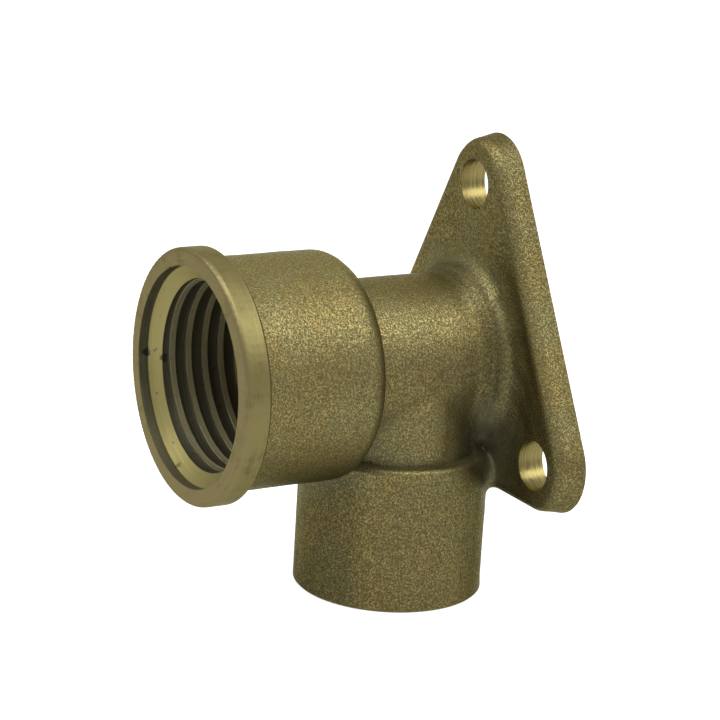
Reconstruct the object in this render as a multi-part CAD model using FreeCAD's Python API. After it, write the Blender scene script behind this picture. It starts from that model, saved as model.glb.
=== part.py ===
import FreeCAD, Part
import math
import os

from FreeCAD import Vector

# Wall plate elbow: a threaded socket facing the room, a solder cup facing down and a plate for the wall.
# The origin lies on the socket axis at the wall face of the plate. The wall is at +Y and +Z is up.

# Waterway between socket and cup
waterway_radius = 6.5

# Wall plate, a rounded triangle with drafted sides
plate_thickness = 2.9
plate_draft = 9.0
plate_edge_round = 1.3
lug_radius = 5.1
screw_hole_radius = 2.55
top_hole_z = 17.5
low_hole_x = 14.15
low_hole_z = -8.15

# Neck between the plate and the socket
neck_wall = 1.9
neck_foot = 0.3

# Pad that thickens the plate round the neck
pad_step = 0.9
pad_height = 2.1
pad_draft = 10.0
pad_edge_round = 0.55

# Threaded socket, sized for a G 1/2 pipe thread
thread_major_radius = 10.4775
thread_height = 1.162
thread_depth = 14.0
mouth_distance = 34.6
mouth_clearance = 0.46
mouth_depth = 1.0
lead_in_half_angle = 54.5
drill_half_angle = 59.0
socket_wall = 1.17
socket_floor = 2.75
shoulder_round = 2.5
collar_step = 1.08
collar_width = 2.75
collar_chamfer = 0.3
face_chamfer = 0.25

# Solder cup for a 15 mm tube, on a stem that drops from the neck
cup_bore_radius = 7.55
cup_bore_depth = 12.0
cup_bore_chamfer = 0.5
cup_wall = 2.225
cup_wall_gap = 0.625
cup_reach = 24.15
cup_end_chamfer = 0.2
shelf_drop = 0.7
shelf_round = 0.7
stem_inset = 0.2
stem_neck_fillet = 4.5
cup_plate_fillet = 1.0

# Sizes that follow from the ones above
neck_radius = waterway_radius + neck_wall
pad_radius = neck_radius + pad_step
pad_front = plate_thickness + pad_height
thread_minor_radius = thread_major_radius - thread_height
mouth_radius = thread_major_radius + mouth_clearance
socket_radius = thread_major_radius + socket_wall
collar_radius = socket_radius + collar_step
collar_back = mouth_distance - collar_width
thread_end = mouth_distance - thread_depth
shoulder_distance = thread_end - socket_floor
stem_radius = neck_radius - stem_inset
cup_radius = cup_bore_radius + cup_wall
cup_axis_distance = cup_radius + cup_wall_gap
shelf_z = -neck_radius - shelf_drop
plate_bottom_z = low_hole_z - lug_radius
screw_places = [(0, top_hole_z), (low_hole_x, low_hole_z), (-low_hole_x, low_hole_z)]


def arc_through(start, end, centre):
    """Short arc from start to end about a centre in the same plane."""
    middle = (start + end) * 0.5 - centre
    middle.normalize()
    return Part.Arc(start, centre + middle * (start - centre).Length, end).toShape()


def turned(steps, point, base, axis):
    """Solid turned from an outline of ("line", u, r) and ("arc", u, r, centre u, centre r) steps."""
    first = point(steps[0][1], steps[0][2])
    here = first
    edges = []
    for step in steps[1:]:
        there = point(step[1], step[2])
        if step[0] == "line":
            edges.append(Part.makeLine(here, there))
        else:
            edges.append(arc_through(here, there, point(step[3], step[4])))
        here = there
    edges.append(Part.makeLine(here, first))
    return Part.Face(Part.Wire(edges)).revolve(base, axis, 360)


def from_wall(distance, radius):
    """Point beside the socket axis, at a distance from the wall."""
    return Vector(0, -distance, radius)


def from_cup(z, radius):
    """Point beside the cup axis, at a height."""
    return Vector(radius, -cup_axis_distance, z)


def middle_of(edge):
    """Point halfway along an edge."""
    return edge.valueAt((edge.FirstParameter + edge.LastParameter) / 2)


def plate_wire(radius, y):
    """Rounded triangle about the three screw holes at one depth."""
    centres = [Vector(x, y, z) for x, z in screw_places]
    count = len(centres)
    outward = []
    for i in range(count):
        along = centres[(i + 1) % count] - centres[i]
        along.normalize()
        outward.append(Vector(-along.z, 0, along.x))
    edges = []
    for i in range(count):
        start = centres[i] + outward[i - 1] * radius
        end = centres[i] + outward[i] * radius
        after = centres[(i + 1) % count] + outward[i] * radius
        edges.append(arc_through(start, end, centres[i]))
        edges.append(Part.makeLine(end, after))
    return Part.Wire(edges)


# Plate with drafted sides and a rounded front edge
front_lug_radius = lug_radius - plate_thickness * math.tan(math.radians(plate_draft))
plate = Part.makeLoft([plate_wire(lug_radius, 0), plate_wire(front_lug_radius, -plate_thickness)], True, True)
front_edges = [e for e in plate.Edges if abs(middle_of(e).y + plate_thickness) < 1e-6]
plate = plate.makeFillet(plate_edge_round, front_edges)

# Cup wall run into the plate with a fillet along the line where they meet
shelf_curve = min(shelf_round, cup_radius - stem_radius)
wall_top_z = shelf_z - shelf_curve
wall_end_z = -cup_reach + cup_end_chamfer
cup_base = Vector(0, -cup_axis_distance, 0)
cup_wall_run = Part.makeCylinder(cup_radius, wall_top_z - wall_end_z, from_cup(wall_end_z, 0))
backed_cup = plate.fuse(cup_wall_run).removeSplitter().Solids[0]
meeting_edges = []
for edge in backed_cup.Edges:
    spot = middle_of(edge)
    on_cup = abs(math.hypot(spot.x, spot.y + cup_axis_distance) - cup_radius) < 1e-4
    beside_plate = spot.y > -plate_thickness - 1e-4
    if on_cup and beside_plate and plate_bottom_z < spot.z < wall_top_z - 1e-4:
        meeting_edges.append(edge)
backed_cup = backed_cup.makeFillet(cup_plate_fillet, meeting_edges)

# Pad turned about the socket axis, with a drafted side, a rounded front edge and a flare at the neck
pad_slope = math.radians(pad_draft)
corner_share = math.tan((math.pi / 2 - pad_slope) / 2)
pad_edge = min(pad_edge_round, 0.8 * (pad_step - neck_foot) / corner_share, pad_height / 2)
pad_corner = pad_edge * corner_share
pad_spread = (plate_thickness / 2 + pad_height) * math.tan(pad_slope)
pad = turned(
    [
        ("line", plate_thickness / 2, 0),
        ("line", plate_thickness / 2, pad_radius + pad_spread),
        ("line", pad_front - pad_corner * math.cos(pad_slope), pad_radius + pad_corner * math.sin(pad_slope)),
        ("arc", pad_front, pad_radius - pad_corner, pad_front - pad_edge, pad_radius - pad_corner),
        ("line", pad_front, neck_radius + neck_foot),
        ("line", pad_front + 2 * neck_foot, neck_radius - neck_foot),
        ("line", pad_front + 2 * neck_foot, 0),
    ],
    from_wall, Vector(0, 0, 0), Vector(0, 1, 0))

# Shoulder, socket and collar turned about the socket axis
shoulder_curve = min(shoulder_round, socket_radius - neck_radius)
socket = turned(
    [
        ("line", shoulder_distance, 0),
        ("line", shoulder_distance, socket_radius - shoulder_curve),
        ("arc", shoulder_distance + shoulder_curve, socket_radius,
         shoulder_distance + shoulder_curve, socket_radius - shoulder_curve),
        ("line", collar_back, socket_radius),
        ("line", collar_back, collar_radius - collar_chamfer),
        ("line", collar_back + collar_chamfer, collar_radius),
        ("line", mouth_distance - face_chamfer, collar_radius),
        ("line", mouth_distance, collar_radius - face_chamfer),
        ("line", mouth_distance, 0),
    ],
    from_wall, Vector(0, 0, 0), Vector(0, 1, 0))

# Neck and stem joined by a large blend, kept between the plate and the socket
run = mouth_distance + cup_radius
neck = Part.makeCylinder(neck_radius, 2 * run, Vector(0, run, 0), Vector(0, -1, 0))
stem = Part.makeCylinder(stem_radius, cup_reach, cup_base, Vector(0, 0, -1))
tee = neck.fuse(stem).removeSplitter().Solids[0]
blend_edges = [e for e in tee.Edges if not isinstance(e.Curve, (Part.Circle, Part.Line))]
tee = tee.makeFillet(stem_neck_fillet, blend_edges)
tee_back = plate_thickness / 2
tee_front = shoulder_distance + shoulder_curve
tee_room = Part.makeBox(2 * run, tee_front - tee_back, run - wall_top_z, Vector(-run, -tee_front, wall_top_z))
tee = tee.common(tee_room)

# Solder cup turned about its own axis, with the shelf under the stem
cup = turned(
    [
        ("line", shelf_z, 0),
        ("line", shelf_z, cup_radius - shelf_curve),
        ("arc", wall_top_z, cup_radius, wall_top_z, cup_radius - shelf_curve),
        ("line", wall_end_z, cup_radius),
        ("line", -cup_reach, cup_radius - cup_end_chamfer),
        ("line", -cup_reach, 0),
    ],
    from_cup, cup_base, Vector(0, 0, 1))

# Bore of the socket: mouth recess, lead-in cone, thread wall and a drilled waterway
drill_slope = math.tan(math.radians(drill_half_angle))
drill_point = waterway_radius / drill_slope
lead_in_end = mouth_distance - mouth_depth - (mouth_radius - thread_minor_radius) / math.tan(
    math.radians(lead_in_half_angle))
drill_end = thread_end - (thread_minor_radius - waterway_radius) / drill_slope
socket_bore = turned(
    [
        ("line", mouth_distance, 0),
        ("line", mouth_distance, mouth_radius),
        ("line", mouth_distance - mouth_depth, mouth_radius),
        ("line", lead_in_end, thread_minor_radius),
        ("line", thread_end, thread_minor_radius),
        ("line", drill_end, waterway_radius),
        ("line", cup_axis_distance, waterway_radius),
        ("line", cup_axis_distance - drill_point, 0),
    ],
    from_wall, Vector(0, 0, 0), Vector(0, 1, 0))

# Bore of the cup, with the tube stop and the drilled way up to the socket axis
tube_stop_z = -cup_reach + cup_bore_depth
cup_bore = turned(
    [
        ("line", drill_point, 0),
        ("line", 0, waterway_radius),
        ("line", tube_stop_z, waterway_radius),
        ("line", tube_stop_z, cup_bore_radius),
        ("line", -cup_reach + cup_bore_chamfer, cup_bore_radius),
        ("line", -cup_reach, cup_bore_radius + cup_bore_chamfer),
        ("line", -cup_reach, 0),
    ],
    from_cup, cup_base, Vector(0, 0, 1))

# Screw holes through the plate
cuts = [socket_bore, cup_bore]
for x, z in screw_places:
    cuts.append(Part.makeCylinder(screw_hole_radius, plate_thickness, Vector(x, 0, z), Vector(0, -1, 0)))

body = backed_cup.fuse([pad, socket, tee, cup]).cut(cuts).removeSplitter().Solids[0]

os.makedirs("parts", exist_ok=True)
body.exportStep("parts/elbow_body.step")
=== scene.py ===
import heapq
import itertools
import math

import bmesh
import bpy
from bpy.props import FloatProperty, FloatVectorProperty, IntProperty, PointerProperty
from mathutils import Matrix, Vector, noise
from mathutils.bvhtree import BVHTree
from mathutils.kdtree import KDTree


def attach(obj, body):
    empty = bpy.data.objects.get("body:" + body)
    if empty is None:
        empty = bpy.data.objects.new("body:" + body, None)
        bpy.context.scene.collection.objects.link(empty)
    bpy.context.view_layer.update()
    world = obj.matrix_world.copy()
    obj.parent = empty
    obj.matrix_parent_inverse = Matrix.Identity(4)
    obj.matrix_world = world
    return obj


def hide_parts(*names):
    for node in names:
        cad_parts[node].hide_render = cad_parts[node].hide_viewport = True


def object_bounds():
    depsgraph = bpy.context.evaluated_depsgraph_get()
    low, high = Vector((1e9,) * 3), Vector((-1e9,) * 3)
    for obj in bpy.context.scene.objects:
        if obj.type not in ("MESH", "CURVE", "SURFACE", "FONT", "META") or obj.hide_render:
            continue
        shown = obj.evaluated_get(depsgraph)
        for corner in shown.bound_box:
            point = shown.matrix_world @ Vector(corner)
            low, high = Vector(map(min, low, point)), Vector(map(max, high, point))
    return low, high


bl_info = {
    "name": "Wall plate elbow",
    "version": (1, 0, 0),
    "blender": (4, 5, 0),
    "location": "3D View > Sidebar > Elbow",
    "description": "Threads, roughens and finishes the forged brass wall plate elbow",
    "category": "Object",
}

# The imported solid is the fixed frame, in metres, with the socket axis along Y and the cup pointing down
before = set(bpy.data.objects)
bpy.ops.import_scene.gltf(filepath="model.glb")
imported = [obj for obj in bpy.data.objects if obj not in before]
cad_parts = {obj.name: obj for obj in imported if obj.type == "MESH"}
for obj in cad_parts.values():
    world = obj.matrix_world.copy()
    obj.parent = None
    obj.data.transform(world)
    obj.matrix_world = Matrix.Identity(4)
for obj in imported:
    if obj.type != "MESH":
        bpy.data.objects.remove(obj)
CAD_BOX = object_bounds()
SOLID = "elbow_body"
PIECE = "elbow_body_dressed"
MM = 0.001

# Places on the solid in millimetres: along the socket axis (Y), up (Z) and out from an axis
MOUTH_Y = CAD_BOX[0].y / MM
RECESS_FLOOR_Y = MOUTH_Y + 1.0
COLLAR_BACK_Y = MOUTH_Y + 2.75
DRILL_END_Y = MOUTH_Y + 15.7
CUP_AXIS_Y = -10.4
PLATE_FRONT_Y = -2.9
CUP_END_Z = CAD_BOX[0].z / MM
CUP_END_CUT = 0.25
MOUTH_RADIUS = 10.9375
THREAD_MINOR_RADIUS = 9.3155
WATERWAY_RADIUS = 6.5
CUP_BORE_RADIUS = 7.55
SCREW_HOLE_RADIUS = 2.55
SCREW_HOLES = ((0.0, 17.5), (14.15, -8.15), (-14.15, -8.15))
LEAD_IN_HALF_ANGLE = math.radians(54.5)

# Slack in millimetres for the middle of a face near a wall, and for a point on a surface
NEAR = 0.05
TOUCH = 0.01

# Points of the mesh closer than this are one point, and faces thinner than this are dissolved, in metres
WELD = 1e-7
SLIVER = 0.5e-6

# Finishes in the order of the piece's material slots
SKIN, TURNED, BORED, DRILLED = range(4)

# Colour that brass keeps at a glancing angle, and the tones that the skin's colour is multiplied by: random
# patches, painted light on the top of the socket and painted shade
EDGE_TINT = (0.68, 0.66, 0.52, 1.0)
PATCH_TONE = (1.05, 0.98, 0.9, 1.0)
TOP_LIGHT_TONE = (1.7, 1.7, 1.7, 1.0)
SHADE_TONE = (0.5, 0.5, 0.5, 1.0)

# Zones of the skin in millimetres, each from where it begins to where it is full, where the skin's colour
# gets painted light on the top of the socket and painted shade below it and on the cup, plate, bead and
# crease
SOCKET_ZONE_Y = (-17.0, -19.0)
PLATE_ZONE_Y = (-6.4, -4.6)
BEAD_FRONT_Y = (-8.5, -6.0)
BEAD_BACK_Y = (PLATE_FRONT_Y, -4.0)
CREASE_Y = -5.2
CREASE_BOTTOM_Z = (-8.0, -6.0)
CUP_ZONE_Z = (-8.0, -13.0)
TOP_LIGHT_Z = (9.4, 11.5)
BENEATH_Z = (-1.0, -8.0)
PLATE_TOP_Z = (5.0, 13.0)

# Smudges at the recess and the lead-in cone, in millimetres
SMUDGES = ((-10.94, -33.6, -0.45), (-3.35, -33.55, -9.95), (-9.4, -32.5, -0.8))

# Lamps: the way to each from the middle of the object, their distance and their widths in metres
RIGHT_LAMP_WAY = (0.49, 0.50, 0.71)
LEFT_LAMP_WAY = (-0.31, -0.64, 0.70)
TOP_LAMP_WAY = (0.15, -0.25, 1.0)
LAMP_DISTANCE = 0.42
SIDE_LAMP_SIZE = 0.22
TOP_LAMP_SIZE = 0.34

# Camera at the photograph's viewing angle: its place and sensor in millimetres, its right and its up
CAMERA_PLACE = Vector((210.505, -140.727, 68.958))
CAMERA_RIGHT = Vector((0.49765, 0.8655, 0.05701))
CAMERA_UP = Vector((-0.26238, 0.08757, 0.96098))
SENSOR_WIDTH = 36.0

# Floor: half its width and the gap under the cup in metres, its colours and its glow
FLOOR_HALF = 6.0
FLOOR_GAP = 0.02 * MM
FLOOR_PALE = (0.8, 0.8, 0.8, 1.0)
FLOOR_SHADE = (0.5, 0.5, 0.5, 1.0)
FLOOR_GLOW = 0.86
WHITE = (1.0, 1.0, 1.0, 1.0)


class ThreadSizes(bpy.types.PropertyGroup):
    """Sizes of the socket's pipe thread."""

    pitch: FloatProperty(
        name="Pitch", description="Distance between two turns",
        default=1.814 * MM, unit="LENGTH", precision=6)
    minor_radius: FloatProperty(
        name="Minor radius", description="Radius at the crests",
        default=THREAD_MINOR_RADIUS * MM, unit="LENGTH", precision=6)
    height: FloatProperty(
        name="Height", description="Depth of the groove",
        default=1.04 * MM, unit="LENGTH", precision=6)
    crest_width: FloatProperty(
        name="Crest width", description="Flat left between two turns",
        default=0.52 * MM, unit="LENGTH", precision=6)
    root_width: FloatProperty(
        name="Root width", description="Width of the groove's bottom",
        default=0.28 * MM, unit="LENGTH", precision=6)
    root_round: FloatProperty(
        name="Root round", description="Radius in the groove's bottom",
        default=0.12 * MM, unit="LENGTH", precision=6)
    inner_end: FloatProperty(
        name="Inner end", description="Place of the last turn on the socket axis",
        default=-22.508 * MM, unit="LENGTH", precision=6)
    turns: FloatProperty(
        name="Turns", description="Turns from the inner end out through the mouth", default=6.6)
    run_out: FloatProperty(
        name="Run-out", description="Share of the turns in which the groove fades at its inner end",
        default=0.12)


class SkinSizes(bpy.types.PropertyGroup):
    """Roughness of the blasted forging skin as geometry."""

    facet: FloatProperty(
        name="Facet", description="Longest edge on the skin",
        default=1.0 * MM, unit="LENGTH", precision=6)
    lip_facet: FloatProperty(
        name="Turned facet", description="Longest edge on turned faces",
        default=0.4 * MM, unit="LENGTH", precision=6)
    wave_size: FloatProperty(
        name="Wave size", description="Width of the soft waves",
        default=4.0 * MM, unit="LENGTH", precision=6)
    wave_height: FloatProperty(
        name="Wave height", description="Depth of the soft waves",
        default=0.10 * MM, unit="LENGTH", precision=6)
    pit_size: FloatProperty(
        name="Pit size", description="Width of the blasted pits",
        default=2.4 * MM, unit="LENGTH", precision=6)
    pit_height: FloatProperty(
        name="Pit height", description="Depth of the blasted pits",
        default=0.06 * MM, unit="LENGTH", precision=6)
    pad_softening: IntProperty(
        name="Pad softening", description="Smoothing steps on the pad round the neck", default=16, min=0)
    cove_softening: IntProperty(
        name="Cove softening", description="Smoothing steps on the cove beside the pad", default=5, min=0)
    lip_softening: IntProperty(
        name="Lip softening", description="Smoothing steps on the outer edge of the mouth", default=2, min=0)
    nick_depth: FloatProperty(
        name="Nick depth", description="Depth of the nicks in the recess edge",
        default=0.25 * MM, unit="LENGTH", precision=6)
    fade: FloatProperty(
        name="Fade", description="Distance from a crisp edge to the full roughness",
        default=1.2 * MM, unit="LENGTH", precision=6)
    sharp_angle: FloatProperty(
        name="Sharp angle", description="Edges that turn more than this stay crisp",
        default=math.radians(32), subtype="ANGLE")
    shelter_reach: FloatProperty(
        name="Shelter reach", description="Distance at which a wall still shelters a point",
        default=7.0 * MM, unit="LENGTH", precision=6)
    shelter_looks: IntProperty(
        name="Shelter looks", description="Directions looked in for the shelter of a point",
        default=20, min=1)


class FinishColours(bpy.types.PropertyGroup):
    """Colours of the brass as forged and as cut."""

    skin_dark: FloatVectorProperty(
        name="Skin dark", description="Tarnish in the pits of the skin",
        default=(0.079, 0.07, 0.033), subtype="COLOR")
    skin: FloatVectorProperty(
        name="Skin", description="Olive brown of the blasted skin",
        default=(0.133, 0.114, 0.047), subtype="COLOR")
    skin_light: FloatVectorProperty(
        name="Skin light", description="Brass on the peaks of the skin",
        default=(0.245, 0.208, 0.086), subtype="COLOR")
    cut: FloatVectorProperty(
        name="Cut brass", description="Bare turned brass",
        default=(0.148, 0.127, 0.051), subtype="COLOR")
    face: FloatVectorProperty(
        name="Face", description="Browner brass on the mouth's face",
        default=(0.145, 0.112, 0.062), subtype="COLOR")
    cut_stain: FloatVectorProperty(
        name="Stain", description="Brown stain on turned faces",
        default=(0.095, 0.076, 0.032), subtype="COLOR")
    bore: FloatVectorProperty(
        name="Bore", description="Brass inside the threaded socket",
        default=(0.23, 0.205, 0.115), subtype="COLOR")
    # Painted highlight on the thread's crests, also the pale tone of the lathe rings
    crest: FloatVectorProperty(
        name="Crest", description="Pale crests of the thread",
        default=(0.34, 0.30, 0.175), subtype="COLOR")
    cone: FloatVectorProperty(
        name="Cone", description="Pale lead-in cone of the thread",
        default=(0.215, 0.185, 0.072), subtype="COLOR")
    # Painted shade in the thread's grooves and on the recess wall, also the colour of real dark flecks and
    # smudges
    groove: FloatVectorProperty(
        name="Groove", description="Grime in the thread's grooves",
        default=(0.03, 0.031, 0.023), subtype="COLOR")
    drilled: FloatVectorProperty(
        name="Drilled", description="Bright walls of the screw holes",
        default=(0.26, 0.21, 0.076), subtype="COLOR")
    # Painted shade with olive grime, laid where the skin and the turned faces are sheltered
    shade_and_grime_colour: FloatVectorProperty(
        name="Shade and grime", description="Dark olive grime in corners",
        default=(0.08, 0.083, 0.048), subtype="COLOR")


class StageLevels(bpy.types.PropertyGroup):
    """Lamps, room light and camera."""

    right_lamp: FloatProperty(
        name="Right lamp", description="Power of the soft lamp behind on the right",
        default=0.82, unit="POWER")
    left_lamp: FloatProperty(
        name="Left lamp", description="Power of the soft lamp in front on the left",
        default=0.68, unit="POWER")
    top_lamp: FloatProperty(
        name="Top lamp", description="Power of the soft lamp overhead",
        default=1.75, unit="POWER")
    room: FloatProperty(
        name="Room", description="Level of the even light from the room", default=0.3)
    lens: FloatProperty(
        name="Lens", description="Focal length on a 36 mm sensor", default=126.176, unit="CAMERA")


class Wire:
    """A node's output that takes part in Python arithmetic, where each operation adds a Math node."""

    def __init__(self, web, socket):
        self.web = web
        self.socket = socket

    def out(self, name):
        """Another output of the same node."""
        return Wire(self.web, self.socket.node.outputs[name])

    def __add__(self, other):
        return self.web.math("ADD", self, other)

    def __sub__(self, other):
        return self.web.math("SUBTRACT", self, other)

    def __rsub__(self, other):
        return self.web.math("SUBTRACT", other, self)

    def __mul__(self, other):
        return self.web.math("MULTIPLY", self, other)

    def __truediv__(self, other):
        return self.web.math("DIVIDE", self, other)

    def __rtruediv__(self, other):
        return self.web.math("DIVIDE", other, self)

    def __pow__(self, other):
        return self.web.math("POWER", self, other)

    def __abs__(self):
        return self.web.math("ABSOLUTE", self)

    __radd__ = __add__
    __rmul__ = __mul__


class Web:
    """A node tree under construction, for a material, the world or geometry."""

    def __init__(self, tree):
        self.tree = tree
        tree.nodes.clear()

    def node(self, kind, settings=None, sockets=None, out=0):
        """Adds a node with its settings, then the values or links of its sockets, and gives one output."""
        made = self.tree.nodes.new(kind)
        for name, value in (settings or {}).items():
            setattr(made, name, value)
        for key, value in (sockets or {}).items():
            if isinstance(value, Wire):
                self.tree.links.new(value.socket, made.inputs[key])
            else:
                made.inputs[key].default_value = value
        return Wire(self, made.outputs[out]) if made.outputs else None

    def math(self, operation, *values):
        """One step of arithmetic on values."""
        return self.node("ShaderNodeMath", {"operation": operation}, dict(enumerate(values)))

    def mix(self, factor, first, second, blend="MIX"):
        """Colour between two colours."""
        settings = {"data_type": "RGBA", "blend_type": blend, "clamp_factor": True}
        return self.node("ShaderNodeMix", settings, {0: factor, 6: first, 7: second}, out=2)

    def range(self, value, low, high, new_low=0.0, new_high=1.0):
        """A value eased from one range to another and held there."""
        sockets = {0: value, 1: low, 2: high, 3: new_low, 4: new_high}
        return self.node("ShaderNodeMapRange", {"interpolation_type": "SMOOTHSTEP"}, sockets)

    def noise(self, place, scale, detail=2.0, roughness=0.5):
        """Soft noise between 0 and 1."""
        settings = {"noise_dimensions": "3D", "normalize": True}
        sockets = {"Vector": place, "Scale": scale, "Detail": detail, "Roughness": roughness}
        return self.node("ShaderNodeTexNoise", settings, sockets)


def rgba(colour):
    """A colour property with full alpha."""
    return (*colour, 1.0)


def new_material(name):
    """An empty material and its web."""
    material = bpy.data.materials.new(name)
    material.use_nodes = True
    return material, Web(material.node_tree)


def place_in_mm(web):
    """Object coordinates in millimetres."""
    place = web.node("ShaderNodeTexCoord", out="Object")
    return web.node("ShaderNodeVectorMath", {"operation": "SCALE"}, {0: place, "Scale": 1 / MM})


def shelter_mask(web):
    """How closed in the surface is, from the mesh."""
    return web.node("ShaderNodeAttribute", {"attribute_name": "shelter"}, out="Fac")


def brass_surface(web, colour, roughness, height, depth, metallic):
    """Ends a material in a metal shader with its colour, gloss and fine relief."""
    bump = web.node("ShaderNodeBump", None, {"Strength": 1.0, "Distance": depth, "Height": height})
    surface = web.node("ShaderNodeBsdfPrincipled", None, {
        "Base Color": colour, "Roughness": roughness, "Metallic": metallic, "Normal": bump,
        "Specular Tint": EDGE_TINT})
    web.node("ShaderNodeOutputMaterial", None, {"Surface": surface})


def forged_skin(colours):
    """Blasted forging skin: olive brown with bright grains, painted light on the top of the socket, painted
    shade under it and on the cup, plate, bead and crease, and painted shade with olive grime in sheltered
    corners.
    """
    material, web = new_material("forged_skin")
    place = place_in_mm(web)
    grain = web.noise(place, 5.0, 2.0, 0.6)
    fine = web.noise(place, 10.5, 1.0)
    patch = web.noise(place, 0.22, 3.0)
    speck = web.range(grain * 0.6 + fine * 0.4, 0.36, 0.66)
    split = web.node("ShaderNodeSeparateXYZ", None, {0: place})
    along = split.out("Y")
    up = split.out("Z")
    socket = web.range(along, *SOCKET_ZONE_Y)
    plate = web.range(along, *PLATE_ZONE_Y)
    plate_top = web.range(up, *PLATE_TOP_Z) * plate
    bead = web.range(along, *BEAD_FRONT_Y) * web.range(along, *BEAD_BACK_Y)
    # Painted shade along the crease where the neck meets the pad
    crease = web.range(up, *CREASE_BOTTOM_Z) * web.range((along - CREASE_Y) ** 2.0, 0.4, 0.0)
    cup = web.range(up, *CUP_ZONE_Z)
    # Painted shade under the socket
    beneath = web.range(up, *BENEATH_Z) * socket
    # Painted light: the top of the socket is lightened as if lit from above
    top_light = web.range(up, *TOP_LIGHT_Z) * socket * 0.45
    # Painted shade: the cup, plate, plate top, bead, crease and the socket's underside are darkened
    painted_shade = cup * 0.3 + plate * 0.2 + plate_top * 0.25 + bead * 0.4 + beneath * 0.5 + crease * 0.4
    # Painted shade with olive grime where the skin is sheltered, which also makes the metal less metallic
    shade_and_grime = web.range(shelter_mask(web), 0.15, 0.7) * (0.55 - speck * 0.25 + plate * 0.25)
    colour = web.mix(web.range(speck, 0.0, 0.55), rgba(colours.skin_dark), rgba(colours.skin))
    colour = web.mix(web.range(speck, 0.6, 1.0), colour, rgba(colours.skin_light))
    colour = web.mix(web.range(patch, 0.35, 0.65), colour, PATCH_TONE, "MULTIPLY")
    colour = web.mix(top_light, colour, TOP_LIGHT_TONE, "MULTIPLY")
    colour = web.mix(painted_shade, colour, SHADE_TONE, "MULTIPLY")
    colour = web.mix(shade_and_grime, colour, rgba(colours.shade_and_grime_colour))
    roughness = web.range(speck, 0.0, 1.0, 0.56, 0.3)
    brass_surface(web, colour, roughness, grain * 0.65 + fine * 0.35, 0.08 * MM, 1.0 - shade_and_grime * 0.95)
    return material


def lathe_marks(web, place):
    """Distance from the socket axis, place along it and fine rings about it."""
    split = web.node("ShaderNodeSeparateXYZ", None, {0: place})
    across = split.out("X")
    along = split.out("Y")
    up = split.out("Z")
    radius = (across * across + up * up) ** 0.5
    turn = web.math("ARCTAN2", up, across)
    ring_place = web.node("ShaderNodeCombineXYZ", None, {0: radius * 9.0, 1: along * 9.0, 2: turn * 0.8})
    return radius, along, web.noise(ring_place, 1.0, 2.0, 0.65)


def turned_brass(colours):
    """Brass turned about the socket axis: fine rings, with a browner face round the mouth."""
    material, web = new_material("turned_brass")
    place = place_in_mm(web)
    along, rings = lathe_marks(web, place)[1:]
    blotch = web.noise(place, 0.5, 3.0, 0.6)
    stain = web.range(blotch * 0.6 + rings * 0.4, 0.5, 0.68)
    face = web.range(along, MOUTH_Y + 0.4, MOUTH_Y + 0.1)
    colour = web.mix(face * 0.5, rgba(colours.cut), rgba(colours.face))
    colour = web.mix(stain * 0.8, colour, rgba(colours.cut_stain))
    colour = web.mix(web.range(rings, 0.55, 0.8) * 0.3, colour, rgba(colours.drilled))
    # Painted shade with olive grime where the turned faces are sheltered
    colour = web.mix(web.range(shelter_mask(web), 0.5, 1.0) * 0.5, colour, rgba(colours.shade_and_grime_colour))
    roughness = web.range(rings + stain * 0.4, 0.2, 1.1, 0.38, 0.56)
    brass_surface(web, colour, roughness, rings, 0.03 * MM, 0.95)
    return material


def bored_brass(colours):
    """Brass inside the socket: painted highlight on the crests, painted shade in the grooves and on the
    recess wall, dark specks and a few smudges at the recess.
    """
    material, web = new_material("bored_brass")
    place = place_in_mm(web)
    radius, along, rings = lathe_marks(web, place)
    fleck = web.noise(place, 1.5, 3.0, 0.65)
    from_floor = along - RECESS_FLOOR_Y
    off_cone = radius + from_floor * math.tan(LEAD_IN_HALF_ANGLE) - MOUTH_RADIUS
    cone = web.range(abs(off_cone), 0.12, 0.04)
    threaded = web.range(from_floor, 0.5, 0.9) * (1.0 - cone)
    over_crest = radius - THREAD_MINOR_RADIUS
    # Painted highlight: the thread's crests get a paler colour and less metal
    crest = web.range(over_crest, 0.135, 0.015) * threaded
    # Painted shade in the grooves and on the recess wall, added to real dark flecks and smudges
    groove = web.range(over_crest, 0.045, 0.335) * threaded
    recess = web.range(radius - MOUTH_RADIUS, -0.08, -0.02)
    shade_and_grime = groove * 0.85 + recess * 0.55 + web.range(fleck, 0.67, 0.72) * 0.8
    for spot in SMUDGES:
        away = web.node("ShaderNodeVectorMath", {"operation": "DISTANCE"}, {0: place, 1: spot}, out="Value")
        shade_and_grime = shade_and_grime + web.range(away + fleck * 1.2, 1.15, 0.75) * 0.7
    shade_and_grime = web.range(shade_and_grime, 0.0, 1.0)
    colour = web.mix(web.range(rings, 0.4, 0.75), rgba(colours.bore), rgba(colours.crest))
    colour = web.mix(crest * 0.6, colour, rgba(colours.crest))
    colour = web.mix(cone, colour, rgba(colours.cone))
    colour = web.mix(shade_and_grime, colour, rgba(colours.groove))
    roughness = web.range(rings + shade_and_grime * 0.4, 0.2, 1.1, 0.36, 0.58)
    brass_surface(web, colour, roughness, rings, 0.03 * MM, 0.9 - crest * 0.4)
    return material


def drilled_brass(colours):
    """Bright drilled walls with tool marks round the hole."""
    material, web = new_material("drilled_brass")
    place = place_in_mm(web)
    stretched = web.node("ShaderNodeVectorMath", {"operation": "MULTIPLY"}, {0: place, 1: (0.25, 5.0, 0.25)})
    marks = web.noise(stretched, 1.0, 2.0, 0.6)
    colour = web.mix(web.range(marks, 0.35, 0.7), rgba(colours.cut), rgba(colours.drilled))
    brass_surface(web, colour, web.range(marks, 0.3, 0.7, 0.24, 0.4), marks, 0.03 * MM, 0.95)
    return material


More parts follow.
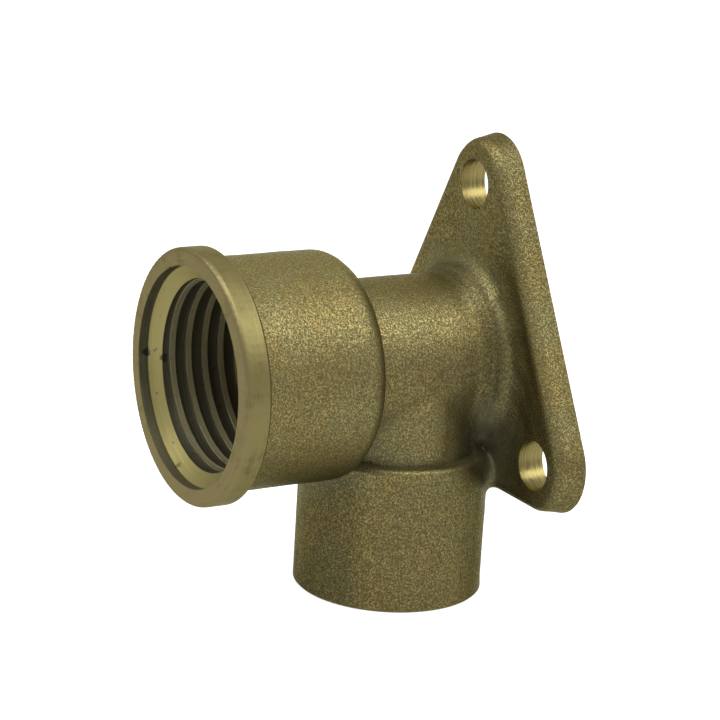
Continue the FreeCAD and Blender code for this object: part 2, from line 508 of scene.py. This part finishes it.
def thread_cutter_tree():
    """Geometry Nodes: a trapezoid swept along the thread's helix, fading out at the inner end."""
    tree = bpy.data.node_groups.new("Thread cutter", "GeometryNodeTree")
    tree.interface.new_socket("Geometry", in_out="OUTPUT", socket_type="NodeSocketGeometry")
    for name in ("Pitch", "Minor radius", "Height", "Crest width", "Root width", "Root round", "Inner end",
                 "Turns", "Run-out"):
        tree.interface.new_socket(name, in_out="INPUT", socket_type="NodeSocketFloat")
    tree.interface.new_socket("Material", in_out="INPUT", socket_type="NodeSocketMaterial")
    web = Web(tree)
    given = web.node("NodeGroupInput")
    pitch = given.out("Pitch")
    height = given.out("Height")
    turns = given.out("Turns")
    radius = given.out("Minor radius")
    root_width = given.out("Root width")

    # Helix that sinks below the crests at its inner end
    path = web.node("GeometryNodeCurveSpiral", None, {
        "Resolution": 128, "Rotations": turns, "Start Radius": radius, "End Radius": radius,
        "Height": turns * pitch})
    share = web.node("GeometryNodeSplineParameter", out="Factor")
    deepest = 1.1
    sunk = (1.0 - web.range(share, 0.0, given.out("Run-out"))) * height * deepest / radius
    point = web.node("GeometryNodeInputPosition")
    flat = web.node("ShaderNodeVectorMath", {"operation": "MULTIPLY"}, {0: point, 1: (-1.0, -1.0, 0.0)})
    inward = web.node("ShaderNodeVectorMath", {"operation": "SCALE"}, {0: flat, "Scale": sunk})
    path = web.node("GeometryNodeSetPosition", None, {"Geometry": path, "Offset": inward})
    path = web.node("GeometryNodeSetCurveNormal", {"mode": "Z_UP"}, {"Curve": path})

    # Section of the groove, with its open side carried a little past the crests
    past_crest = 0.25
    foot = height * (1.0 + past_crest)
    flank = (pitch - given.out("Crest width") - root_width) / height
    section = web.node("GeometryNodeCurvePrimitiveQuadrilateral", {"mode": "TRAPEZOID"}, {
        "Height": foot, "Bottom Width": root_width + flank * foot, "Top Width": root_width, "Offset": 0.0})
    section = web.node("GeometryNodeFilletCurve", {"mode": "POLY"}, {
        "Curve": section, "Count": 3, "Radius": given.out("Root round")})
    lift = web.node("ShaderNodeCombineXYZ", None, {0: height - foot * 0.5})
    section = web.node("GeometryNodeTransform", None, {
        "Geometry": section, "Translation": lift, "Rotation": (0.0, 0.0, -math.pi / 2)})

    # Cutter laid along the socket axis
    cutter = web.node("GeometryNodeCurveToMesh", None, {
        "Curve": path, "Profile Curve": section, "Fill Caps": True})
    along = web.node("ShaderNodeCombineXYZ", None, {1: given.out("Inner end")})
    cutter = web.node("GeometryNodeTransform", None, {
        "Geometry": cutter, "Translation": along, "Rotation": (math.pi / 2, 0.0, 0.0)})
    cutter = web.node("GeometryNodeRealizeInstances", None, {"Geometry": cutter})
    cutter = web.node("GeometryNodeSetMaterial", None, {
        "Geometry": cutter, "Material": given.out("Material")})
    web.node("NodeGroupOutput", None, {0: cutter})
    return tree


def forged_skin_tree():
    """Geometry Nodes: soft waves and blasted pits sunk into the forged faces."""
    tree = bpy.data.node_groups.new("Forged skin", "GeometryNodeTree")
    tree.interface.new_socket("Geometry", in_out="OUTPUT", socket_type="NodeSocketGeometry")
    tree.interface.new_socket("Geometry", in_out="INPUT", socket_type="NodeSocketGeometry")
    for name in ("Wave size", "Wave height", "Pit size", "Pit height"):
        tree.interface.new_socket(name, in_out="INPUT", socket_type="NodeSocketFloat")
    tree.interface.new_socket("Material", in_out="INPUT", socket_type="NodeSocketMaterial")
    web = Web(tree)
    given = web.node("NodeGroupInput")
    point = web.node("GeometryNodeInputPosition")
    wave = web.noise(point, 1.0 / given.out("Wave size"), 1.0)
    pit = web.noise(point, 1.0 / given.out("Pit size"), 1.0)
    depth = wave * given.out("Wave height") + pit * given.out("Pit height")
    way = web.node("GeometryNodeInputNamedAttribute", {"data_type": "FLOAT_VECTOR"}, {"Name": "forged"})
    sink = web.node("ShaderNodeVectorMath", {"operation": "SCALE"}, {0: way, "Scale": depth * -1.0})
    body = web.node("GeometryNodeSetPosition", None, {"Geometry": given, "Offset": sink})
    body = web.node("GeometryNodeRealizeInstances", None, {"Geometry": body})
    finish = web.node("GeometryNodeInputMaterialIndex")
    same = {"data_type": "INT", "operation": "EQUAL"}
    on_skin = web.node("FunctionNodeCompare", same, {2: finish, 3: SKIN})
    body = web.node("GeometryNodeSetMaterial", None, {
        "Geometry": body, "Selection": on_skin, "Material": given.out("Material")})
    web.node("NodeGroupOutput", None, {0: body})
    return tree


def by_label(sizes):
    """Values of a property group under the names that a user reads, which the node trees share."""
    return {sizes.bl_rna.properties[key].name: getattr(sizes, key) for key in type(sizes).__annotations__}


def run_tree(piece, tree, values):
    """Runs a node tree on an object with its named inputs and keeps the result as a plain mesh."""
    modifier = piece.modifiers.new(tree.name, "NODES")
    modifier.node_group = tree
    for item in tree.interface.items_tree:
        if item.in_out == "INPUT" and item.name in values:
            modifier[item.identifier] = values[item.name]
    settle(piece)


def settle(piece):
    """Replaces an object's mesh by what its modifiers make of it."""
    piece.update_tag()
    seen = piece.evaluated_get(bpy.context.evaluated_depsgraph_get())
    made = bpy.data.meshes.new_from_object(seen)
    piece.modifiers.clear()
    piece.data = made
    made.name = piece.name


def new_object(name, data):
    """An object at the origin in the scene."""
    made = bpy.data.objects.new(name, data)
    bpy.context.scene.collection.objects.link(made)
    return made


def open_mesh(piece):
    """The mesh of a piece, opened for editing."""
    bm = bmesh.new()
    bm.from_mesh(piece.data)
    return bm


def close_mesh(bm, piece):
    """Writes an edited mesh back to its piece."""
    bm.to_mesh(piece.data)
    bm.free()


def finish_of(centre):
    """Finish of a face by the place of its middle on the fitting, in millimetres."""
    x, y, z = centre
    from_axis = math.hypot(x, z)
    from_cup_axis = math.hypot(x, y - CUP_AXIS_Y)
    in_mouth = from_axis < MOUTH_RADIUS + NEAR and y < COLLAR_BACK_Y
    in_socket = from_axis < THREAD_MINOR_RADIUS + NEAR and y < DRILL_END_Y + NEAR
    in_waterway = from_axis < WATERWAY_RADIUS + NEAR and y < PLATE_FRONT_Y
    in_cup = from_cup_axis < CUP_BORE_RADIUS + NEAR and z < 0.0
    if in_mouth or in_socket or in_waterway or in_cup:
        return BORED
    if y < COLLAR_BACK_Y + NEAR or z < CUP_END_Z + CUP_END_CUT:
        return TURNED
    from_hole = min(math.hypot(x - hole_x, z - hole_z) for hole_x, hole_z in SCREW_HOLES)
    if from_hole < SCREW_HOLE_RADIUS + NEAR and PLATE_FRONT_Y - NEAR < y < -TOUCH:
        return DRILLED
    return SKIN


def mark_crisp(bm, sharp_angle):
    """Marks the edges that turn sharply, before any face is split."""
    bm.normal_update()
    for edge in bm.edges:
        edge.smooth = edge.calc_face_angle(0.0) < sharp_angle


def split_long_edges(bm, sizes):
    """Halves the longest edges first until none on skin and turned faces is longer than wanted."""
    longest = {SKIN: sizes.facet, TURNED: sizes.lip_facet}
    queue = []
    order = itertools.count()

    def offer(edge):
        length = edge.calc_length()
        if any(length > longest.get(face.material_index, length) for face in edge.link_faces):
            heapq.heappush(queue, (-length, next(order), edge))

    for edge in bm.edges:
        offer(edge)
    while queue:
        edge = heapq.heappop(queue)[-1]
        ends = set(edge.verts)
        faces = list(edge.link_faces)
        half, middle = bmesh.utils.edge_split(edge, edge.verts[0], 0.5)
        fresh = [edge, half]
        for face in faces:
            across = [v for v in face.verts if v not in ends and v is not middle]
            bmesh.utils.face_split(face, middle, across[0])
            fresh.append(bm.edges.get((middle, across[0])))
        for part in fresh:
            offer(part)


def soften(bm, wanted, turns):
    """Smooths the points whose place in millimetres is wanted."""
    near = [v for v in bm.verts if wanted(v.co / MM)]
    for vertex in near:
        for edge in vertex.link_edges:
            edge.smooth = edge.smooth or wanted(edge.other_vert(vertex).co / MM)
    for _ in range(turns):
        bmesh.ops.smooth_vert(bm, verts=near, factor=0.5, use_axis_x=True, use_axis_y=True, use_axis_z=True)


def draw_in_pad(bm):
    """Draws the foot of the pad towards the neck and runs it into the plate in a wide cove."""
    ridge, foot, narrow_foot, free = 9.2, 10.2, 9.4, 11.6
    bead_front, cove_height = -5.6, 0.75
    bottom, run_in = -8.4, 2.0
    for vertex in bm.verts:
        x, y, z = vertex.co / MM
        radius = math.hypot(x, z)
        if not (ridge < radius < free and bead_front < y < PLATE_FRONT_Y + NEAR and z > bottom):
            continue
        if radius < foot:
            wanted = ridge + (radius - ridge) * (narrow_foot - ridge) / (foot - ridge)
        else:
            wanted = narrow_foot + (radius - foot) * (free - narrow_foot) / (free - foot)
        held = min(1.0, (z - bottom) / run_in)
        scale = 1 + (wanted / radius - 1) * held
        vertex.co.x *= scale
        vertex.co.z *= scale
        cove = cove_height * held * (1 - (wanted - ridge) / (free - ridge)) ** 2
        vertex.co.y = min(y, PLATE_FRONT_Y - cove) * MM


def ring_zone(inner, outer, front, back, low):
    """A test of whether a place lies in a ring about the socket axis, in millimetres."""

    def holds(place):
        return inner < math.hypot(place.x, place.z) < outer and front < place.y < back and place.z > low

    return holds


def in_pocket(place):
    """Whether a place lies in the corner between pad, plate and cup, in millimetres."""
    return 4.0 < abs(place.x) < 9.5 and -5.0 < place.y < -2.8 and -11.0 < place.z < -7.2


# The pad's bead with its corner on the neck, the same with the cove beside it, and the mouth's outer edge
on_bead = ring_zone(inner=8.0, outer=9.45, front=-6.2, back=-3.4, low=-8.6)
beside_bead = ring_zone(inner=8.0, outer=11.2, front=-6.2, back=-2.8, low=-8.6)
on_lip_edge = ring_zone(inner=12.1, outer=13.0, front=MOUTH_Y - 1.0, back=MOUTH_Y + 0.6, low=-13.0)


def nick_recess(bm, depth):
    """Nicks the edge of the recess in the mouth, most of them at the upper left."""
    least, most_at, nicks_per_mm, inward = 0.15, 1.5, 2.3, 0.6
    for vertex in bm.verts:
        x, y, z = vertex.co / MM
        radius = math.hypot(x, z)
        if abs(radius - MOUTH_RADIUS) < TOUCH and y < MOUTH_Y + TOUCH:
            upper_left = max(least, (z - x) / radius / most_at)
            bite = max(0.0, noise.noise(Vector((x, 0.0, z)) * nicks_per_mm)) * upper_left * depth
            scale = 1 + bite / MM / radius
            vertex.co.x *= scale
            vertex.co.z *= scale
            vertex.co.y += bite * inward


def mark_forged(bm, fade):
    """Way and share of the skin's roughness, with none on cut, crisp, needle-thin or wall-side places."""
    needle = 0.02
    still = set()
    for edge in bm.edges:
        if not edge.smooth or any(f.material_index != SKIN for f in edge.link_faces):
            still.update(edge.verts)
    still.update(v for v in bm.verts if v.co.y > -TOUCH * MM)
    for face in bm.faces:
        longest = max(e.calc_length() for e in face.edges)
        if face.calc_area() < needle * longest * longest:
            still.update(face.verts)
    places = KDTree(len(still))
    for vertex in still:
        places.insert(vertex.co, vertex.index)
    places.balance()
    bm.normal_update()
    forged = bm.verts.layers.float_vector.new("forged")
    for vertex in bm.verts:
        away = min(1.0, places.find(vertex.co)[2] / fade)
        outward = sum((f.normal * f.calc_area() for f in vertex.link_faces), Vector())
        vertex[forged] = outward.normalized() * away * away * (3 - 2 * away)


def shape_skin(bm, sizes):
    """Splits the faces finely, softens the pad, the pocket and the lip, and marks what will be roughened."""
    bmesh.ops.remove_doubles(bm, verts=bm.verts, dist=WELD)
    bmesh.ops.dissolve_degenerate(bm, dist=SLIVER, edges=bm.edges)
    bmesh.ops.triangulate(bm, faces=bm.faces)
    mark_crisp(bm, sizes.sharp_angle)
    split_long_edges(bm, sizes)
    draw_in_pad(bm)
    soften(bm, on_bead, sizes.pad_softening)
    soften(bm, beside_bead, sizes.cove_softening)
    soften(bm, in_pocket, sizes.pad_softening)
    soften(bm, on_lip_edge, sizes.lip_softening)
    nick_recess(bm, sizes.nick_depth)
    mark_forged(bm, sizes.fade)


def shelter_of(bm, reach, looks):
    """How closed in each point is, from 0 in the open to 1 deep inside, by looking round it."""
    tree = BVHTree.FromBMesh(bm)
    golden = math.pi * (3 - math.sqrt(5))
    ways = []
    for i in range(looks):
        rise = 1 - (i + 0.5) / looks
        spread = math.sqrt(1 - rise * rise)
        ways.append(Vector((spread * math.cos(golden * i), spread * math.sin(golden * i), rise)))
    clear = 0.02 * MM
    closed = []
    for vertex in bm.verts:
        turn = vertex.normal.to_track_quat("Z", "Y")
        start = vertex.co + vertex.normal * clear
        hits = sum(tree.ray_cast(start, turn @ way, reach)[0] is not None for way in ways)
        closed.append(hits / looks)
    return closed


def mark_shelter(bm, sizes):
    """Stores how closed in each point is and makes the faces smooth."""
    bm.normal_update()
    shelter = bm.verts.layers.float.new("shelter")
    for vertex, share in zip(bm.verts, shelter_of(bm, sizes.shelter_reach, sizes.shelter_looks)):
        vertex[shelter] = share
    for face in bm.faces:
        face.smooth = True


def seen_directly(web):
    """1 for what the camera, a reflection or a clear piece sees, and 0 for light that falls on things."""
    path = web.node("ShaderNodeLightPath", out="Is Camera Ray")
    return web.node("ShaderNodeMath", {"operation": "ADD", "use_clamp": True}, {
        0: path + path.out("Is Glossy Ray"), 1: path.out("Is Transmission Ray")})


def white_room(level):
    """World that shows white and lights the object evenly."""
    world = bpy.data.worlds.new("room")
    world.use_nodes = True
    bpy.context.scene.world = world
    web = Web(world.node_tree)
    strength = web.range(seen_directly(web), 0.0, 1.0, level, 1.0)
    room = web.node("ShaderNodeBackground", None, {"Color": WHITE, "Strength": strength})
    web.node("ShaderNodeOutputWorld", None, {"Surface": room})


def white_floor():
    """Pale floor just under the cup, which keeps the object's shadow."""
    low = CAD_BOX[0].z - FLOOR_GAP
    corners = [(-1, -1), (1, -1), (1, 1), (-1, 1)]
    mesh = bpy.data.meshes.new("floor")
    mesh.from_pydata([(x * FLOOR_HALF, y * FLOOR_HALF, low) for x, y in corners], [], [(0, 1, 2, 3)])
    floor = new_object("floor", mesh)
    material, web = new_material("pale_floor")
    matt = web.node("ShaderNodeBsdfDiffuse", None, {"Color": FLOOR_SHADE})
    glow = web.node("ShaderNodeEmission", None, {"Color": WHITE, "Strength": FLOOR_GLOW})
    bright = web.node("ShaderNodeAddShader", None, {0: matt, 1: glow})
    plain = web.node("ShaderNodeBsdfDiffuse", None, {"Color": FLOOR_PALE})
    shown = web.node("ShaderNodeMixShader", None, {0: seen_directly(web), 1: plain, 2: bright})
    web.node("ShaderNodeOutputMaterial", None, {"Surface": shown})
    mesh.materials.append(material)


def soft_lamp(name, way, size, power):
    """Square soft lamp that looks at the middle of the object."""
    lamp = bpy.data.lights.new(name, "AREA")
    lamp.shape = "SQUARE"
    lamp.size = size
    lamp.energy = power
    stand = new_object(name, lamp)
    middle = (CAD_BOX[0] + CAD_BOX[1]) / 2
    towards = Vector(way).normalized()
    stand.location = middle + towards * LAMP_DISTANCE
    stand.rotation_euler = towards.to_track_quat("Z", "Y").to_euler()


def photo_camera(lens):
    """Camera that sees the object as the photograph does."""
    lens_data = bpy.data.cameras.new("camera")
    lens_data.lens = lens
    lens_data.sensor_width = SENSOR_WIDTH
    lens_data.clip_start = 0.01
    lens_data.clip_end = 20.0
    camera = new_object("camera", lens_data)
    back = CAMERA_RIGHT.cross(CAMERA_UP)
    turn = Matrix((CAMERA_RIGHT, CAMERA_UP, back)).transposed().to_4x4()
    camera.matrix_world = Matrix.Translation(CAMERA_PLACE * MM) @ turn
    bpy.context.scene.camera = camera


class ELBOW_OT_thread(bpy.types.Operator):
    """Copy the solid, give its faces their finishes and cut the pipe thread into its socket"""

    bl_idname = "elbow.thread"
    bl_label = "Thread the socket"

    def execute(self, context):
        colours = context.scene.elbow_colours
        finishes = [make(colours) for make in (forged_skin, turned_brass, bored_brass, drilled_brass)]
        piece = new_object(PIECE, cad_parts[SOLID].data.copy())
        piece.data.materials.clear()
        for material in finishes:
            piece.data.materials.append(material)
        bm = open_mesh(piece)
        bmesh.ops.remove_doubles(bm, verts=bm.verts, dist=WELD)
        for face in bm.faces:
            face.material_index = finish_of(face.calc_center_median() / MM)
        close_mesh(bm, piece)
        cutter = new_object("thread_cutter", bpy.data.meshes.new("thread_cutter"))
        values = by_label(context.scene.elbow_thread)
        values["Material"] = finishes[BORED]
        run_tree(cutter, thread_cutter_tree(), values)
        cut = piece.modifiers.new("Thread", "BOOLEAN")
        cut.operation = "DIFFERENCE"
        cut.solver = "EXACT"
        cut.material_mode = "TRANSFER"
        cut.object = cutter
        settle(piece)
        bpy.data.objects.remove(cutter)
        return {"FINISHED"}


class ELBOW_OT_skin(bpy.types.Operator):
    """Soften the pad, roughen the forged skin and set the crisp edges"""

    bl_idname = "elbow.skin"
    bl_label = "Roughen the skin"

    def execute(self, context):
        sizes = context.scene.elbow_skin
        piece = bpy.data.objects[PIECE]
        bm = open_mesh(piece)
        shape_skin(bm, sizes)
        close_mesh(bm, piece)
        values = by_label(sizes)
        values["Material"] = piece.data.materials[SKIN]
        run_tree(piece, forged_skin_tree(), values)
        bm = open_mesh(piece)
        mark_shelter(bm, sizes)
        close_mesh(bm, piece)
        shading = piece.modifiers.new("Shading", "WEIGHTED_NORMAL")
        shading.mode = "FACE_AREA"
        shading.keep_sharp = True
        settle(piece)
        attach(piece, "root")
        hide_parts(SOLID)
        return {"FINISHED"}


class ELBOW_OT_stage(bpy.types.Operator):
    """Set the floor, the room, the lamps and the camera"""

    bl_idname = "elbow.stage"
    bl_label = "Set the stage"

    def execute(self, context):
        levels = context.scene.elbow_stage
        context.scene.view_settings.view_transform = "Standard"
        white_room(levels.room)
        white_floor()
        soft_lamp("right_lamp", RIGHT_LAMP_WAY, SIDE_LAMP_SIZE, levels.right_lamp)
        soft_lamp("left_lamp", LEFT_LAMP_WAY, SIDE_LAMP_SIZE, levels.left_lamp)
        soft_lamp("top_lamp", TOP_LAMP_WAY, TOP_LAMP_SIZE, levels.top_lamp)
        photo_camera(levels.lens)
        return {"FINISHED"}


GROUPS = {
    "elbow_thread": ThreadSizes,
    "elbow_skin": SkinSizes,
    "elbow_colours": FinishColours,
    "elbow_stage": StageLevels,
}
STEPS = (ELBOW_OT_thread, ELBOW_OT_skin, ELBOW_OT_stage)


class ELBOW_PT_panel(bpy.types.Panel):
    """Sizes, colours and steps of the wall plate elbow"""

    bl_idname = "ELBOW_PT_panel"
    bl_label = "Wall plate elbow"
    bl_space_type = "VIEW_3D"
    bl_region_type = "UI"
    bl_category = "Elbow"

    def draw(self, context):
        for name, group in GROUPS.items():
            box = self.layout.box()
            for key in group.__annotations__:
                box.prop(getattr(context.scene, name), key)
        for step in STEPS:
            self.layout.operator(step.bl_idname)


def register():
    """Adds the property groups, the steps and the panel."""
    for name, group in GROUPS.items():
        bpy.utils.register_class(group)
        setattr(bpy.types.Scene, name, PointerProperty(type=group))
    for step in STEPS:
        bpy.utils.register_class(step)
    bpy.utils.register_class(ELBOW_PT_panel)


def unregister():
    """Takes away what register added."""
    bpy.utils.unregister_class(ELBOW_PT_panel)
    for step in reversed(STEPS):
        bpy.utils.unregister_class(step)
    for name, group in GROUPS.items():
        delattr(bpy.types.Scene, name)
        bpy.utils.unregister_class(group)


def main():
    """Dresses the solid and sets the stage."""
    register()
    bpy.ops.elbow.thread()
    bpy.ops.elbow.skin()
    bpy.ops.elbow.stage()


if __name__ == "__main__":
    main()
